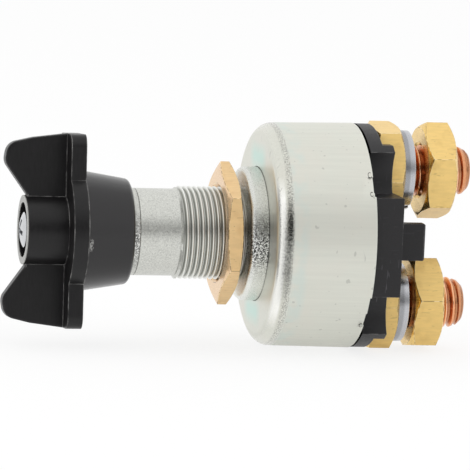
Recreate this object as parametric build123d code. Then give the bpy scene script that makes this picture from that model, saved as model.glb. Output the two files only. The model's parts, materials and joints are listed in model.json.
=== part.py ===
from build123d import *
import math
import os

# Rotary battery disconnect switch. Millimetres. +X runs along the switch axis, from the
# knob towards the terminals, and +Z runs along the line of the two studs. The origin is
# on the axis, in the plane of the boss face that seats against the panel.

# Clearances
running_clearance = 0.03      # radial, spindle in its bore and seal in its bore
drive_clearance = 0.04        # per side, flats and squares that drive one another
thread_clearance = 0.05       # radial, nut on its thread
seat_clearance = 0.10         # radial, castings and mouldings dropped into pressed steel
axial_play = 0.02             # between flat faces that slide on one another
guard_clearance = 0.40        # between turning and fixed faces that must not touch
plug_clearance = 0.05         # radial, base plug in the cup
flange_clearance = 0.30       # radial, flange in the cup
overcut = 1.0                 # how far a cutting shape runs past the face that it cuts
same_place = 1e-6             # coordinates that differ by less than this are the same

# Knob, moulded plastic with two wings
knob_span = 37.2              # over the two ears
ear_width = 13.4
ear_corner_r = 2.5
knob_plate_front = -34.1
knob_plate_t = 2.95
knob_disc_d = 23.8
wing_t = 3.0
wing_root = 1.0               # how far the blade enters the plate
wing_reach = 12.0             # from the plate to the wing tip
wing_shoulder = 6.5           # from the plate to the bend in the outer edge
wing_shoulder_drop = 0.85     # how far the outer edge has fallen in at the bend
wing_tip_drop = 2.0           # how far it has fallen in at the tip
wing_tip_lean = 0.6           # the tip's outer corner stands this far behind its inner one
wing_tip_inset = 5.6          # from the outer edge of the plate in to the inner tip corner
wing_foot_inset = 0.6         # from the hub's front face back to the foot of the inner edge
wing_tip_r = 2.6
wing_edge_r = 0.35
hub_d = 13.3
hub_front = -42.15
hub_recess_d = 10.6
hub_recess_depth = 2.1
hub_web_t = 1.3
skirt_front_d = 23.2
skirt_rear_d = 20.2
skirt_rear = -21.9
skirt_edge_r = 0.9
sleeve_wall = 2.2
skirt_core_depth = 7.5
skirt_rib_t = 1.4
skirt_rib_setback = 1.0       # from the sleeve's end to the ribs'
skirt_rib_count = 4
rest_turn = 4.0               # how far the knob stands past the line of the studs at rest

# Knob screw
screw_d = 4.0
screw_head_d = 6.8
screw_head_h = 2.7
screw_dome_h = 0.8
screw_length = 12.0
screw_slot_w = 0.9
screw_slot_length = 4.1
screw_slot_depth = 1.0
screw_slot_turn = 20.0

# Spindle
spindle_d = 9.0
spindle_end_d = 8.0
spindle_end_gap = 0.2         # from the spindle's end to the knob's web
journal_setback = 0.1         # from the end of the knob's sleeve to the journal
spindle_flats = 6.5
spindle_shoulder_d = 13.6
spindle_shoulder_t = 2.0
spindle_square = 6.0
spindle_square_end = 10.2
tapping_run = 1.5             # tapped depth past the screw's end
oring_wire_d = 1.5
oring_side_gap = 0.15
oring_center = -17.5
thrust_washer_t = 1.0

# Neck, threaded boss and flange: one zinc die casting
neck_d = 16.8
neck_entry = 1.0              # how far the neck runs into the knob's skirt
neck_chamfer = 0.5
neck_thread_d = 18.0
neck_thread_front = -12.9
neck_thread_lead = 0.5
boss_d = 25.9
boss_edge_r = 1.0
flange_t = 3.0
flange_edge_r = 2.0
spring_bore_d = 14.0
spring_bore_front = -6.0
key_width = 5.0
key_depth = 2.4
key_setback = 1.8             # from the flange's front face to the base's key
key_outer_gap = 0.3

# Drawn steel cup
cup_front = 3.4
cup_rear = 22.0
cup_flare = 0.6               # how much wider the cup is at its rim than at its front
cup_wall = 1.0
cup_corner_r = 2.8
tongue_reach = 0.3            # how far the rim's two tongues stand past the rest of it
tongue_side_gap = 0.2         # how far a tongue stands past each side of its barrier
stake_angles = (33.0, -41.0)  # from the side of the switch, where the rim is staked inwards
stake_half_angle = 4.4
stake_t = 1.0
stake_inset = 1.1
dent_length = 1.5
dent_depth = 0.55

# Moulded base that carries the studs
floor_front = 13.5            # contact plane, flush with the stud heads
base_wall = 1.5
base_seam = 0.2               # dark line between the rim and the base
rim_step = 0.1                # radial, from the rim in to the base behind it
base_rear = 27.9              # rear face of the two barriers
cheek_step = 0.6              # how far ahead of it the base ends beside them
nut_seat = 25.2
barrier_half_width = 9.5
barrier_inset = 2.35          # from the base's round outline in to the barrier's flat
notch_r = 7.9                 # room for the staking tool
notch_inset = 2.45            # from the round outline in to the notch's centre
end_step_inset = 3.05         # from the round outline in to the step behind each stud
pocket_clearance = 0.3        # radial, round the corners of the nuts
post_height = 7.2
post_t = 2.2
post_span = 20.0              # over the two posts
post_rear = 34.85
post_root = 1.0               # how far a post enters the base
base_edge = 0.3

# Rotation stops, in degrees from the upper stud in the direction of turning
turn_angle = 90.0
stop_width = 24.0
stop_gap = 120.0
stop_slack = 0.5
stop_depth = 2.2
stop_root = 0.5               # how far a stop enters the base's wall

# Contacts
stud_spacing = 25.9
stud_d = 10.0
stud_tip = 45.2
stud_taper = 3.0              # along the stud, from its tip to the full thread
stud_taper_drop = 0.55        # in radius
stud_nose = 1.2               # along the stud, from its tip to the end of the taper
stud_nose_drop = 0.85         # in radius
stud_crown_h = 0.3
stud_crown_w = 1.0
stud_head_d = 11.7
stud_head_flats = 10.0
stud_head_t = 3.0
stud_head_margin = 0.2        # from a head to the wall of the base's cavity
bridge_end_gap = 1.2          # from the bridge to that wall
bridge_width = 8.0
bridge_t = 2.4
contact_pad_h = 0.6
contact_pad_lead = 4.9        # from a stud's axis to the inner end of its contact pad
peg_d = 2.9
peg_spacing = 10.0
peg_reach = 1.8
carrier_arm_t = 2.9
carrier_arm_gap = 0.6         # from the arms to the stops' inner face
carrier_disc_r = 9.5
lug_root = 3.0                # how far the stop lug enters its arm
carrier_hub_d = 13.0
carrier_hub_front = 3.0
spring_wire_d = 1.3
spring_wire_sides = 8
spring_outer_d = 12.4
spring_turns = 3.5

# Nuts and spring washers
panel_nut_af = 24.0
panel_nut_t = 3.0
panel_nut_gap = 1.4           # from the nut to the panel seat
panel_nut_corner = 84.8
panel_nut_chamfer = 17.0
terminal_nut_af = 17.0
stud_nut_t = 5.6
terminal_nut_t = 5.85
nut_chamfer = 30.0
nut_face_share = 0.98         # diameter of a nut's round face over its width across flats
nut_countersink = 0.6
washer_clearance = 0.15       # radial, washer on its stud
washer_band = 2.55            # radial width of the washer's ring
washer_t = 2.2
washer_split = 1.2
washer_slant = 20.0

# What differs between the upper and the lower terminal: side of the axis, gap from the
# washer to the outer nut, and how far each nut's front corner is turned down
terminals = {
    "upper": dict(side=1, nut_gap=2.3, stud_nut_turn=9.0, terminal_nut_turn=-18.5, split=205.0),
    "lower": dict(side=-1, nut_gap=1.0, stud_nut_turn=-0.5, terminal_nut_turn=-8.5, split=130.0),
}

# Places that follow from the sizes above
hex_corner = 1 / math.cos(math.radians(30))   # a hexagon's corner radius over its flat radius
stud_offset = stud_spacing / 2
cavity_r = stud_offset + stud_head_d / 2 + stud_head_margin
plug_r = cavity_r + base_wall
cup_inner_r = plug_r + plug_clearance
cup_front_d = 2 * (cup_inner_r + cup_wall)
cup_rear_d = cup_front_d + cup_flare
cup_length = cup_rear - cup_front
cup_inner_front = cup_front + cup_wall
flange_r = cup_inner_r - flange_clearance
flange_rear = cup_inner_front + flange_t
base_rear_r = cup_rear_d / 2 - rim_step
barrier_depth = base_rear_r - barrier_inset
tongue_half_width = barrier_half_width + tongue_side_gap
notch_y = base_rear_r - notch_inset
end_step_z = base_rear_r - end_step_inset
pocket_r = terminal_nut_af / 2 * hex_corner + pocket_clearance
cheek_rear = base_rear - cheek_step
neck_front = skirt_rear - neck_entry
skirt_core_r = neck_d / 2 + guard_clearance
sleeve_rear = neck_front - guard_clearance
stop_inner_r = cavity_r - stop_depth
stop_lug_r = cavity_r - guard_clearance
carrier_arm_reach = stop_inner_r - carrier_arm_gap
bridge_reach = cavity_r - bridge_end_gap
stake_seat = cup_rear - stake_t - seat_clearance
contact_plane = floor_front - axial_play
bridge_front = contact_plane - contact_pad_h - bridge_t
carrier_front = bridge_front - carrier_arm_t
bore_r = spindle_d / 2 + running_clearance
shoulder_front = spring_bore_front + thrust_washer_t + axial_play
shoulder_rear = shoulder_front + spindle_shoulder_t
knob_plate_rear = knob_plate_front + knob_plate_t
recess_floor = hub_front + hub_recess_depth
knob_bore_front = recess_floor + hub_web_t
washer_inner_d = stud_d + 2 * washer_clearance
washer_outer_d = washer_inner_d + 2 * washer_band
washer_front = nut_seat + stud_nut_t
washer_rear = washer_front + washer_t


def rod(x0, x1, radius, y=0.0, z=0.0):
    """A cylinder along X."""
    return Pos(0, y, z) * extrude(Plane.YZ.offset(x0) * Circle(radius), x1 - x0)


def block(x0, x1, y0, y1, z0, z1):
    """A box between two corners."""
    middle = Pos((x0 + x1) / 2, (y0 + y1) / 2, (z0 + z1) / 2)
    return middle * Box(x1 - x0, y1 - y0, z1 - z0)


def turned(*points):
    """A solid turned about the switch axis from (x, radius) points."""
    return revolve(Polygon(*points, align=None), Axis.X)


def ring_sector(x0, x1, r0, r1, angle0, angle1):
    """Part of a ring, between two angles that run from +Z towards +Y."""
    reach = 2 * r1
    middle = (angle0 + angle1) / 2
    corners = [(0, 0)]
    for angle in (angle1, middle, angle0):
        turn = math.radians(angle)
        corners.append((reach * math.sin(turn), reach * math.cos(turn)))
    wedge = extrude(Plane.YZ.offset(x0) * Polygon(*corners, align=None), x1 - x0)
    return (rod(x0, x1, r1) - rod(x0 - overcut, x1 + overcut, r0)) & wedge


def hex_nut(x0, thickness, across_flats, bore_d, corner_turn, chamfer_deg, z=0.0):
    """A hexagon nut along X, with its corners turned off at both faces."""
    flat_r = across_flats / 2
    corner_r = flat_r * hex_corner
    face_r = flat_r * nut_face_share
    drop = (corner_r + overcut - face_r) * math.tan(math.radians(chamfer_deg))
    outline = RegularPolygon(flat_r, 6, major_radius=False, rotation=corner_turn)
    prism = extrude(Plane.YZ.offset(x0) * outline, thickness)
    envelope = turned(
        (x0, 0),
        (x0, face_r),
        (x0 + drop, corner_r + overcut),
        (x0 + thickness - drop, corner_r + overcut),
        (x0 + thickness, face_r),
        (x0 + thickness, 0),
    )
    mouth_r = bore_d / 2 + nut_countersink + overcut
    bore = turned(
        (x0 - overcut, 0),
        (x0 - overcut, mouth_r),
        (x0 + nut_countersink, bore_d / 2),
        (x0 + thickness - nut_countersink, bore_d / 2),
        (x0 + thickness + overcut, mouth_r),
        (x0 + thickness + overcut, 0),
    )
    return Pos(0, 0, z) * ((prism & envelope) - bore)


def flatted(x0, x1, radius, flats):
    """A round bar with two flats, which face +Y and -Y."""
    return rod(x0, x1, radius) & block(x0, x1, -flats / 2, flats / 2, -radius, radius)


def make_wing():
    """The upper wing: a thin blade that leans in from the ear to a rounded tip."""
    ear_z = knob_span / 2
    tip_x = knob_plate_front - wing_reach
    outline = Polygon(
        (knob_plate_front + wing_root, 0),
        (knob_plate_front + wing_root, ear_z),
        (knob_plate_front, ear_z),
        (knob_plate_front - wing_shoulder, ear_z - wing_shoulder_drop),
        (tip_x + wing_tip_lean, ear_z - wing_tip_drop),
        (tip_x, ear_z - wing_tip_inset),
        (hub_front + wing_foot_inset, hub_d / 2),
        (hub_front + wing_foot_inset, 0),
        align=None,
    )
    tips = outline.vertices().sort_by(Axis.X)[0:2]
    outline = fillet(tips, wing_tip_r)
    blade = extrude(Plane.XZ * outline, wing_t / 2, both=True)
    rims = [e for e in blade.edges() if abs(abs(e.center().Y) - wing_t / 2) < same_place]
    rims = [e for e in rims if e.center().Z > hub_d / 2 and e.center().X < knob_plate_front]
    return fillet(rims, wing_edge_r)


def make_knob():
    """Ears, disc, hub, wings and a hollow tapered skirt in one moulding."""
    ears = RectangleRounded(ear_width, knob_span, ear_corner_r)
    plate = extrude(Plane.YZ.offset(knob_plate_front) * (ears + Circle(knob_disc_d / 2)), knob_plate_t)
    skirt = turned(
        (knob_plate_rear, 0),
        (knob_plate_rear, skirt_front_d / 2),
        (skirt_rear, skirt_rear_d / 2),
        (skirt_rear, 0),
    )
    outer_edge = skirt.edges().sort_by(Axis.X)[-1]
    skirt = fillet(outer_edge, skirt_edge_r)
    wing = make_wing()
    knob = plate + skirt + rod(hub_front, knob_plate_front, hub_d / 2)
    knob = knob + wing + Rot(180, 0, 0) * wing
    sleeve_r = spindle_end_d / 2 + sleeve_wall
    core_front = skirt_rear - skirt_core_depth
    core = rod(core_front, skirt_rear, skirt_core_r) - rod(core_front, sleeve_rear, sleeve_r)
    for index in range(skirt_rib_count):
        rib = block(
            core_front, sleeve_rear - skirt_rib_setback, -skirt_rib_t / 2, skirt_rib_t / 2, 0, skirt_core_r
        )
        core = core - Rot(360 * (index + 0.5) / skirt_rib_count, 0, 0) * rib
    knob = knob - core
    knob = knob - rod(hub_front, recess_floor, hub_recess_d / 2)
    knob = knob - rod(recess_floor, knob_bore_front, screw_d / 2 + seat_clearance)
    bore = flatted(
        knob_bore_front,
        sleeve_rear,
        spindle_end_d / 2 + drive_clearance,
        spindle_flats + 2 * drive_clearance,
    )
    return knob - bore


def make_knob_screw():
    """A domed machine screw with a cross recess, under the hub's front face."""
    head_front = recess_floor - screw_head_h
    head_r = screw_head_d / 2
    head = turned(
        (head_front + screw_dome_h, 0),
        (head_front + screw_dome_h, head_r),
        (recess_floor, head_r),
        (recess_floor, 0),
    )
    dome_r = (head_r**2 + screw_dome_h**2) / (2 * screw_dome_h)
    dome = Pos(head_front + dome_r, 0, 0) * Sphere(dome_r)
    dome = dome & rod(head_front, head_front + screw_dome_h, head_r)
    screw = head + dome + rod(recess_floor, recess_floor + screw_length, screw_d / 2)
    for turn in (0, 90):
        slot = block(
            head_front - overcut,
            head_front + screw_slot_depth,
            -screw_slot_w / 2,
            screw_slot_w / 2,
            -screw_slot_length / 2,
            screw_slot_length / 2,
        )
        screw = screw - Rot(turn + screw_slot_turn, 0, 0) * slot
    return screw


def make_spindle():
    """A turned spindle: flatted knob end, sealed journal, shoulder and square drive."""
    end_front = knob_bore_front + spindle_end_gap
    journal_front = sleeve_rear + journal_setback
    spindle = flatted(end_front, journal_front, spindle_end_d / 2, spindle_flats)
    spindle = spindle + rod(journal_front, shoulder_front, spindle_d / 2)
    spindle = spindle + rod(shoulder_front, shoulder_rear, spindle_shoulder_d / 2)
    half_square = spindle_square / 2
    spindle = spindle + block(
        shoulder_rear, spindle_square_end, -half_square, half_square, -half_square, half_square
    )
    groove_half = oring_wire_d / 2 + oring_side_gap
    groove_r = spindle_d / 2 - oring_wire_d
    groove = rod(oring_center - groove_half, oring_center + groove_half, spindle_d)
    groove = groove - rod(oring_center - groove_half, oring_center + groove_half, groove_r)
    tapping_end = recess_floor + screw_length + tapping_run
    tapping = rod(end_front, tapping_end, screw_d / 2 + thread_clearance)
    return spindle - groove - tapping


def make_oring():
    """The spindle's seal, seated in its groove."""
    ring_r = spindle_d / 2 - oring_wire_d / 2
    section = Plane.XY * Pos(oring_center, ring_r) * Circle(oring_wire_d / 2)
    return revolve(section, Axis.X)


def make_thrust_washer():
    """A plain washer between the spindle's shoulder and the casting."""
    outer = rod(spring_bore_front, spring_bore_front + thrust_washer_t, spindle_shoulder_d / 2)
    return outer - rod(spring_bore_front, spring_bore_front + thrust_washer_t, bore_r + running_clearance)


def make_neck_casting():
    """Neck, thread blank, panel boss and the flange that is trapped in the cup."""
    neck_r = neck_d / 2
    thread_r = neck_thread_d / 2
    casting = turned(
        (neck_front, 0),
        (neck_front, neck_r - neck_chamfer),
        (neck_front + neck_chamfer, neck_r),
        (neck_thread_front, neck_r),
        (neck_thread_front + neck_thread_lead, thread_r),
        (0, thread_r),
        (0, 0),
    )
    boss = rod(0, cup_inner_front, boss_d / 2)
    boss = fillet(boss.edges().sort_by(Axis.X)[0], boss_edge_r)
    flange = rod(cup_inner_front, flange_rear, flange_r)
    flange = fillet(flange.edges().sort_by(Axis.X)[0], flange_edge_r)
    casting = casting + boss + flange
    casting = casting - rod(neck_front, spring_bore_front, bore_r)
    casting = casting - rod(spring_bore_front, flange_rear, spring_bore_d / 2)
    for side in (-1, 1):
        outer = side * (flange_r + overcut)
        inner = side * (flange_r - key_depth)
        low, high = sorted((inner, outer))
        half_key = key_width / 2
        casting = casting - block(cup_inner_front, flange_rear, low, high, -half_key, half_key)
    return casting


def make_cup():
    """The drawn cup, with a soft front corner, two rim tongues and four staked dents."""
    rear = cup_rear + tongue_reach
    grow = (cup_rear_d - cup_front_d) / 2 * (rear - cup_front) / cup_length
    shell = turned(
        (cup_front, 0),
        (cup_front, cup_front_d / 2),
        (rear, cup_front_d / 2 + grow),
        (rear, 0),
    )
    shell = fillet(shell.edges().sort_by(Axis.X)[0], cup_corner_r)
    hollow = turned(
        (cup_inner_front, 0),
        (cup_inner_front, cup_inner_r),
        (rear + overcut, cup_inner_r + grow),
        (rear + overcut, 0),
    )
    hollow = fillet(hollow.edges().sort_by(Axis.X)[0], cup_corner_r - cup_wall)
    cup = shell - hollow - rod(cup_front, cup_inner_front, boss_d / 2 + seat_clearance)
    tongues = block(
        cup_rear, rear + overcut, -cup_rear_d, cup_rear_d, -tongue_half_width, tongue_half_width
    )
    cup = cup - (rod(cup_rear, rear + overcut, cup_rear_d) - tongues)
    rim_r = cup_rear_d / 2 - cup_wall
    for angle in stake_angles:
        for back in (0, 180):
            place = Rot(back, 0, 0)
            # angles from +Z towards +Y: the front of the switch, -Y, lies at 270 degrees
            middle = 270 + angle
            tab = ring_sector(
                cup_rear - stake_t,
                cup_rear,
                rim_r - stake_inset,
                rim_r + cup_wall / 2,
                middle - stake_half_angle,
                middle + stake_half_angle,
            )
            dent = Rot(-angle, 0, 0) * make_dent()
            cup = cup - place * dent + place * tab
    return cup


def make_dent():
    """The wedge that the staking tool takes from the outside of the rim, at the front."""
    half_width = cup_rear_d / 2 * math.sin(math.radians(stake_half_angle))
    outer = -cup_rear_d / 2
    profile = Polygon(
        (cup_rear - 2 * dent_length, outer - dent_depth),
        (cup_rear + dent_length, outer + 2 * dent_depth),
        (cup_rear + dent_length, outer - dent_depth),
        align=None,
    )
    return extrude(profile, half_width, both=True)


def make_base():
    """The moulded base: cavity with stops, stud seats, notches, barriers and rear posts."""
    rear_r = base_rear_r
    seam_x = cup_rear + base_seam
    plug = rod(flange_rear, seam_x, plug_r) - rod(flange_rear, floor_front, cavity_r)
    rear = rod(seam_x, base_rear, rear_r)
    rear = rear & block(seam_x, base_rear, -barrier_depth, barrier_depth, -rear_r, rear_r)
    tongue_end = cup_rear + tongue_reach + base_seam
    tongue_z = tongue_half_width + base_seam
    tongue_gap = block(seam_x, tongue_end, -rear_r, rear_r, -tongue_z, tongue_z)
    rear = rear - (tongue_gap - rod(seam_x, tongue_end, plug_r))
    base = plug + rear
    notch = rod(stake_seat, base_rear, notch_r, -notch_y, stud_offset)
    notch = notch - block(stake_seat, base_rear, -notch_y - notch_r, 0, 0, barrier_half_width)
    for turn in (0, 180):
        for flip in (notch, mirror(notch, Plane.XZ)):
            base = base - Rot(turn, 0, 0) * flip
    for side in (-1, 1):
        low, high = sorted((side * (post_span / 2 - post_t), side * post_span / 2))
        base = base + block(base_rear - post_root, post_rear, low, high, -post_height / 2, post_height / 2)
    for side in (-1, 1):
        stud_z = side * stud_offset
        base = base - rod(nut_seat, post_rear + overcut, pocket_r, 0, stud_z)
        outside = side * (rear_r + overcut)
        low, high = sorted((side * barrier_half_width, outside))
        base = base - block(cheek_rear, base_rear + overcut, -rear_r, rear_r, low, high)
        low, high = sorted((side * end_step_z, outside))
        base = base - block(nut_seat, base_rear + overcut, -rear_r, rear_r, low, high)
        base = base - rod(floor_front, nut_seat, stud_d / 2 + seat_clearance, 0, stud_z)
        recess = flatted(
            floor_front,
            floor_front + stud_head_t,
            stud_head_d / 2 + seat_clearance,
            stud_head_flats + 2 * seat_clearance,
        )
        base = base - Pos(0, 0, stud_z) * recess
    for low, high in stop_limits():
        stop = ring_sector(
            flange_rear + guard_clearance, floor_front, stop_inner_r, cavity_r + stop_root, low, high
        )
        base = base + Rot(-rest_turn, 0, 0) * stop
    for side in (-1, 1):
        inner = side * (flange_r - key_depth + seat_clearance)
        outer = side * (flange_r - key_outer_gap)
        low, high = sorted((inner, outer))
        half_key = key_width / 2 - seat_clearance
        base = base + block(cup_inner_front + key_setback, flange_rear, low, high, -half_key, half_key)
    post_ends = [e for e in base.edges() if abs(e.center().X - post_rear) < same_place]
    return chamfer(post_ends, base_edge)


def stop_limits():
    """Start and end angle of the two stops that the carrier's lug turns between."""
    first_end = 180 - (stop_gap - turn_angle) / 2
    second_start = first_end + stop_gap
    return ((first_end - stop_width, first_end), (second_start, second_start + stop_width))


def make_carrier():
    """The insulating carrier that turns the contact bridge."""
    carrier = rod(carrier_hub_front, carrier_front, carrier_hub_d / 2)
    carrier = carrier + rod(carrier_front, bridge_front, carrier_disc_r)
    carrier = carrier + block(
        carrier_front,
        bridge_front,
        -bridge_width / 2,
        bridge_width / 2,
        -carrier_arm_reach,
        carrier_arm_reach,
    )
    lug_half = (stop_gap - turn_angle) / 2 - stop_slack
    carrier = carrier + ring_sector(
        carrier_front,
        bridge_front,
        carrier_arm_reach - lug_root,
        stop_lug_r,
        180 - lug_half,
        180 + lug_half,
    )
    for side in (-1, 1):
        carrier = carrier + rod(
            bridge_front, bridge_front + peg_reach, peg_d / 2, 0, side * peg_spacing / 2
        )
    half_square = spindle_square / 2 + drive_clearance
    return carrier - block(
        carrier_hub_front, bridge_front, -half_square, half_square, -half_square, half_square
    )


def make_bridge():
    """The copper bridge, with a raised contact pad at each end."""
    half_width = bridge_width / 2
    bar = block(bridge_front, bridge_front + bridge_t, -half_width, half_width, -bridge_reach, bridge_reach)
    for side in (-1, 1):
        low, high = sorted((side * (stud_offset - contact_pad_lead), side * bridge_reach))
        pad = block(bridge_front + bridge_t, contact_plane, -half_width, half_width, low, high)
        bar = bar + pad
    bar = bar & rod(bridge_front, contact_plane, bridge_reach)
    for side in (-1, 1):
        hole_r = peg_d / 2 + seat_clearance / 2
        bar = bar - rod(bridge_front, contact_plane, hole_r, 0, side * peg_spacing / 2)
    return bar


def make_spring():
    """The helical spring that presses the carrier and bridge towards the studs."""
    wire_r = spring_wire_d / 2
    length = carrier_hub_front - shoulder_rear - spring_wire_d - 2 * axial_play
    path = Helix(
        pitch=length / spring_turns,
        height=length,
        radius=spring_outer_d / 2 - wire_r,
        center=(shoulder_rear + wire_r + axial_play, 0, 0),
        direction=(1, 0, 0),
    )
    section = Plane(origin=path @ 0, z_dir=path % 0) * RegularPolygon(wire_r, spring_wire_sides)
    return sweep(section, path, is_frenet=True)


def make_stud(z):
    """A copper stud: flatted contact head inside, threaded shank with a tapered tip outside."""
    head = flatted(floor_front, floor_front + stud_head_t, stud_head_d / 2, stud_head_flats)
    radius = stud_d / 2
    nose_r = radius - stud_taper_drop
    crown_r = nose_r - stud_nose_drop
    shank = turned(
        (floor_front + stud_head_t, 0),
        (floor_front + stud_head_t, radius),
        (stud_tip - stud_taper, radius),
        (stud_tip - stud_nose, nose_r),
        (stud_tip - stud_crown_h, crown_r),
        (stud_tip, crown_r - stud_crown_w),
        (stud_tip, 0),
    )
    return Pos(0, 0, z) * (head + shank)


def make_lock_washer(z, split_angle):
    """A split spring washer with a slanted cut."""
    ring = rod(washer_front, washer_rear, washer_outer_d / 2)
    ring = ring - rod(washer_front, washer_rear, washer_inner_d / 2)
    cut = Box(washer_t + 2 * overcut, washer_split, washer_outer_d)
    cut = Pos(washer_front + washer_t / 2, 0, washer_outer_d / 2) * Rot(0, 0, washer_slant) * cut
    return Pos(0, 0, z) * (ring - Rot(-split_angle, 0, 0) * cut)


parts = {
    "knob": make_knob(),
    "knob_screw": make_knob_screw(),
    "spindle": make_spindle(),
    "spindle_oring": make_oring(),
    "thrust_washer": make_thrust_washer(),
    "contact_spring": make_spring(),
    "contact_carrier": make_carrier(),
    "contact_bridge": make_bridge(),
    "neck_casting": make_neck_casting(),
    "panel_nut": hex_nut(
        -panel_nut_gap - panel_nut_t,
        panel_nut_t,
        panel_nut_af,
        neck_thread_d + 2 * thread_clearance,
        panel_nut_corner,
        panel_nut_chamfer,
    ),
    "cup_housing": make_cup(),
    "terminal_base": make_base(),
}
for name in ("knob", "knob_screw", "spindle", "contact_carrier", "contact_bridge"):
    parts[name] = Rot(-rest_turn, 0, 0) * parts[name]
for name, end in terminals.items():
    stud_z = end["side"] * stud_offset
    nut_bore = stud_d + 2 * thread_clearance
    parts[f"stud_{name}"] = make_stud(stud_z)
    parts[f"stud_nut_{name}"] = hex_nut(
        nut_seat, stud_nut_t, terminal_nut_af, nut_bore, end["stud_nut_turn"], nut_chamfer, stud_z
    )
    parts[f"lock_washer_{name}"] = make_lock_washer(stud_z, end["split"])
    parts[f"terminal_nut_{name}"] = hex_nut(
        washer_rear + end["nut_gap"],
        terminal_nut_t,
        terminal_nut_af,
        nut_bore,
        end["terminal_nut_turn"],
        nut_chamfer,
        stud_z,
    )

os.makedirs("parts", exist_ok=True)
for name, solid in parts.items():
    export_step(solid, f"parts/{name}.step")
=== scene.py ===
import json
import math
import bmesh
import bpy
from mathutils import Matrix, Vector

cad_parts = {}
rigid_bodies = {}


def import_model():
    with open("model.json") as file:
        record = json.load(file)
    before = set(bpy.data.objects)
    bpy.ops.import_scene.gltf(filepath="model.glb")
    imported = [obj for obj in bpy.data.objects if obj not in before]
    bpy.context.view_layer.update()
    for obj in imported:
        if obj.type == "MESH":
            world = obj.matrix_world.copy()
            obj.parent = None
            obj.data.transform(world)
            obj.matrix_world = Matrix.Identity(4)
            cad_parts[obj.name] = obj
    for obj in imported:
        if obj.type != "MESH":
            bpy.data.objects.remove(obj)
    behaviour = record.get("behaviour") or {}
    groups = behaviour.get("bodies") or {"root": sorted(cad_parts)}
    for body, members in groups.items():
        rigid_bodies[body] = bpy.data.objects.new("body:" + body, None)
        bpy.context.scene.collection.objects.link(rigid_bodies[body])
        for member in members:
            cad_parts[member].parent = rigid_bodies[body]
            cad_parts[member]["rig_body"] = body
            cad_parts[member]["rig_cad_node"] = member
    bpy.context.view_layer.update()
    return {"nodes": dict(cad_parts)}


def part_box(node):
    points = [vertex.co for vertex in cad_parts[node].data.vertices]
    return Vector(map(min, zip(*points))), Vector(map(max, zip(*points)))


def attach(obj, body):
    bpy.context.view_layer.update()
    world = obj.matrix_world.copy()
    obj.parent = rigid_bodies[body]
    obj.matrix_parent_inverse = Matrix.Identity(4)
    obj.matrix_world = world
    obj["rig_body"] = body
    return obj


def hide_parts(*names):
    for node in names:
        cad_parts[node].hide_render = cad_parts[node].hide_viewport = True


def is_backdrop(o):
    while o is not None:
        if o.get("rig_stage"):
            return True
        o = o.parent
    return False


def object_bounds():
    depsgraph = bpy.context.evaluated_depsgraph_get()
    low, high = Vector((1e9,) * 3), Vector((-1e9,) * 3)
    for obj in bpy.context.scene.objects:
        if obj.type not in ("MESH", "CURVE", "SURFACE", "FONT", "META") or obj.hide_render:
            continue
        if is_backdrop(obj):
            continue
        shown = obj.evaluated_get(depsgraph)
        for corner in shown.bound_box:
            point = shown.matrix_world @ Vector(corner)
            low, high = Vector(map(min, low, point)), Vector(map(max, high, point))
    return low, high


bl_info = {
    "name": "Battery switch looks",
    "version": (1, 0, 0),
    "blender": (4, 5, 0),
    "location": "View3D > Sidebar > Battery switch",
    "description": "Threads, softened edges, finishes and stage for a rotary battery switch",
    "category": "Object",
}

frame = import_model()
MM = 0.001                    # metres

# Thread profile, as shares of the pitch
THREAD_DEPTH = 0.6134
RIDGE_WIDTH = 0.86
RIDGE_SINK = 0.12
RIDGE_ROUNDING = 0.05
CREST_SHARE = 0.22            # width of the crest over the width of the ridge's foot

# Places on the knob, in millimetres, that its box doesn't give
HUB_FRONT = -42.15
HUB_RADIUS = 6.65
PLATE_REAR = -31.15

MERGE_DISTANCE = 2e-6         # metres
FLAT_ANGLE = math.radians(0.3)
SMOOTH_ANGLE = math.radians(32)
END_SLOPE = 0.35              # faces whose normal leans this far along X count as end faces

# Where the rim's metal is torn: angle from the side of the switch, and size in millimetres
BURRS = ((38.5, 0.5), (27.8, 0.36), (-45.4, 0.42))


def seen(red, green, blue):
    """Scene colour of a colour given as 8-bit display values."""
    levels = []
    for value in (red, green, blue):
        share = value / 255
        levels.append(share / 12.92 if share <= 0.04045 else ((share + 0.055) / 1.055) ** 2.4)
    return tuple(levels)


def colour_property(name, description, display):
    return bpy.props.FloatVectorProperty(
        name=name, description=description, default=seen(*display), size=3, subtype="COLOR", min=0, max=1
    )


def angle_property(name, description, degrees):
    return bpy.props.FloatProperty(
        name=name, description=description, default=math.radians(degrees), subtype="ANGLE"
    )


def share_property(name, description, share):
    return bpy.props.FloatProperty(
        name=name, description=description, default=share, min=0, max=1, subtype="FACTOR"
    )


def length_property(name, description, millimetres):
    return bpy.props.FloatProperty(
        name=name, description=description, default=millimetres * MM, unit="LENGTH", precision=5
    )


class SwitchThreads(bpy.types.PropertyGroup):
    """Sizes of the cut threads."""
    neck_pitch: length_property("Neck pitch", "Pitch of the thread on the neck", 1.0)
    neck_radius: length_property("Neck radius", "Outer radius of the neck thread", 8.98)
    neck_start: length_property("Neck start", "Where the neck thread starts along X", -12.9)
    stud_pitch: length_property("Stud pitch", "Pitch of the thread on the studs", 1.5)
    stud_radius: length_property("Stud radius", "Outer radius of the stud threads", 4.98)


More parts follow.
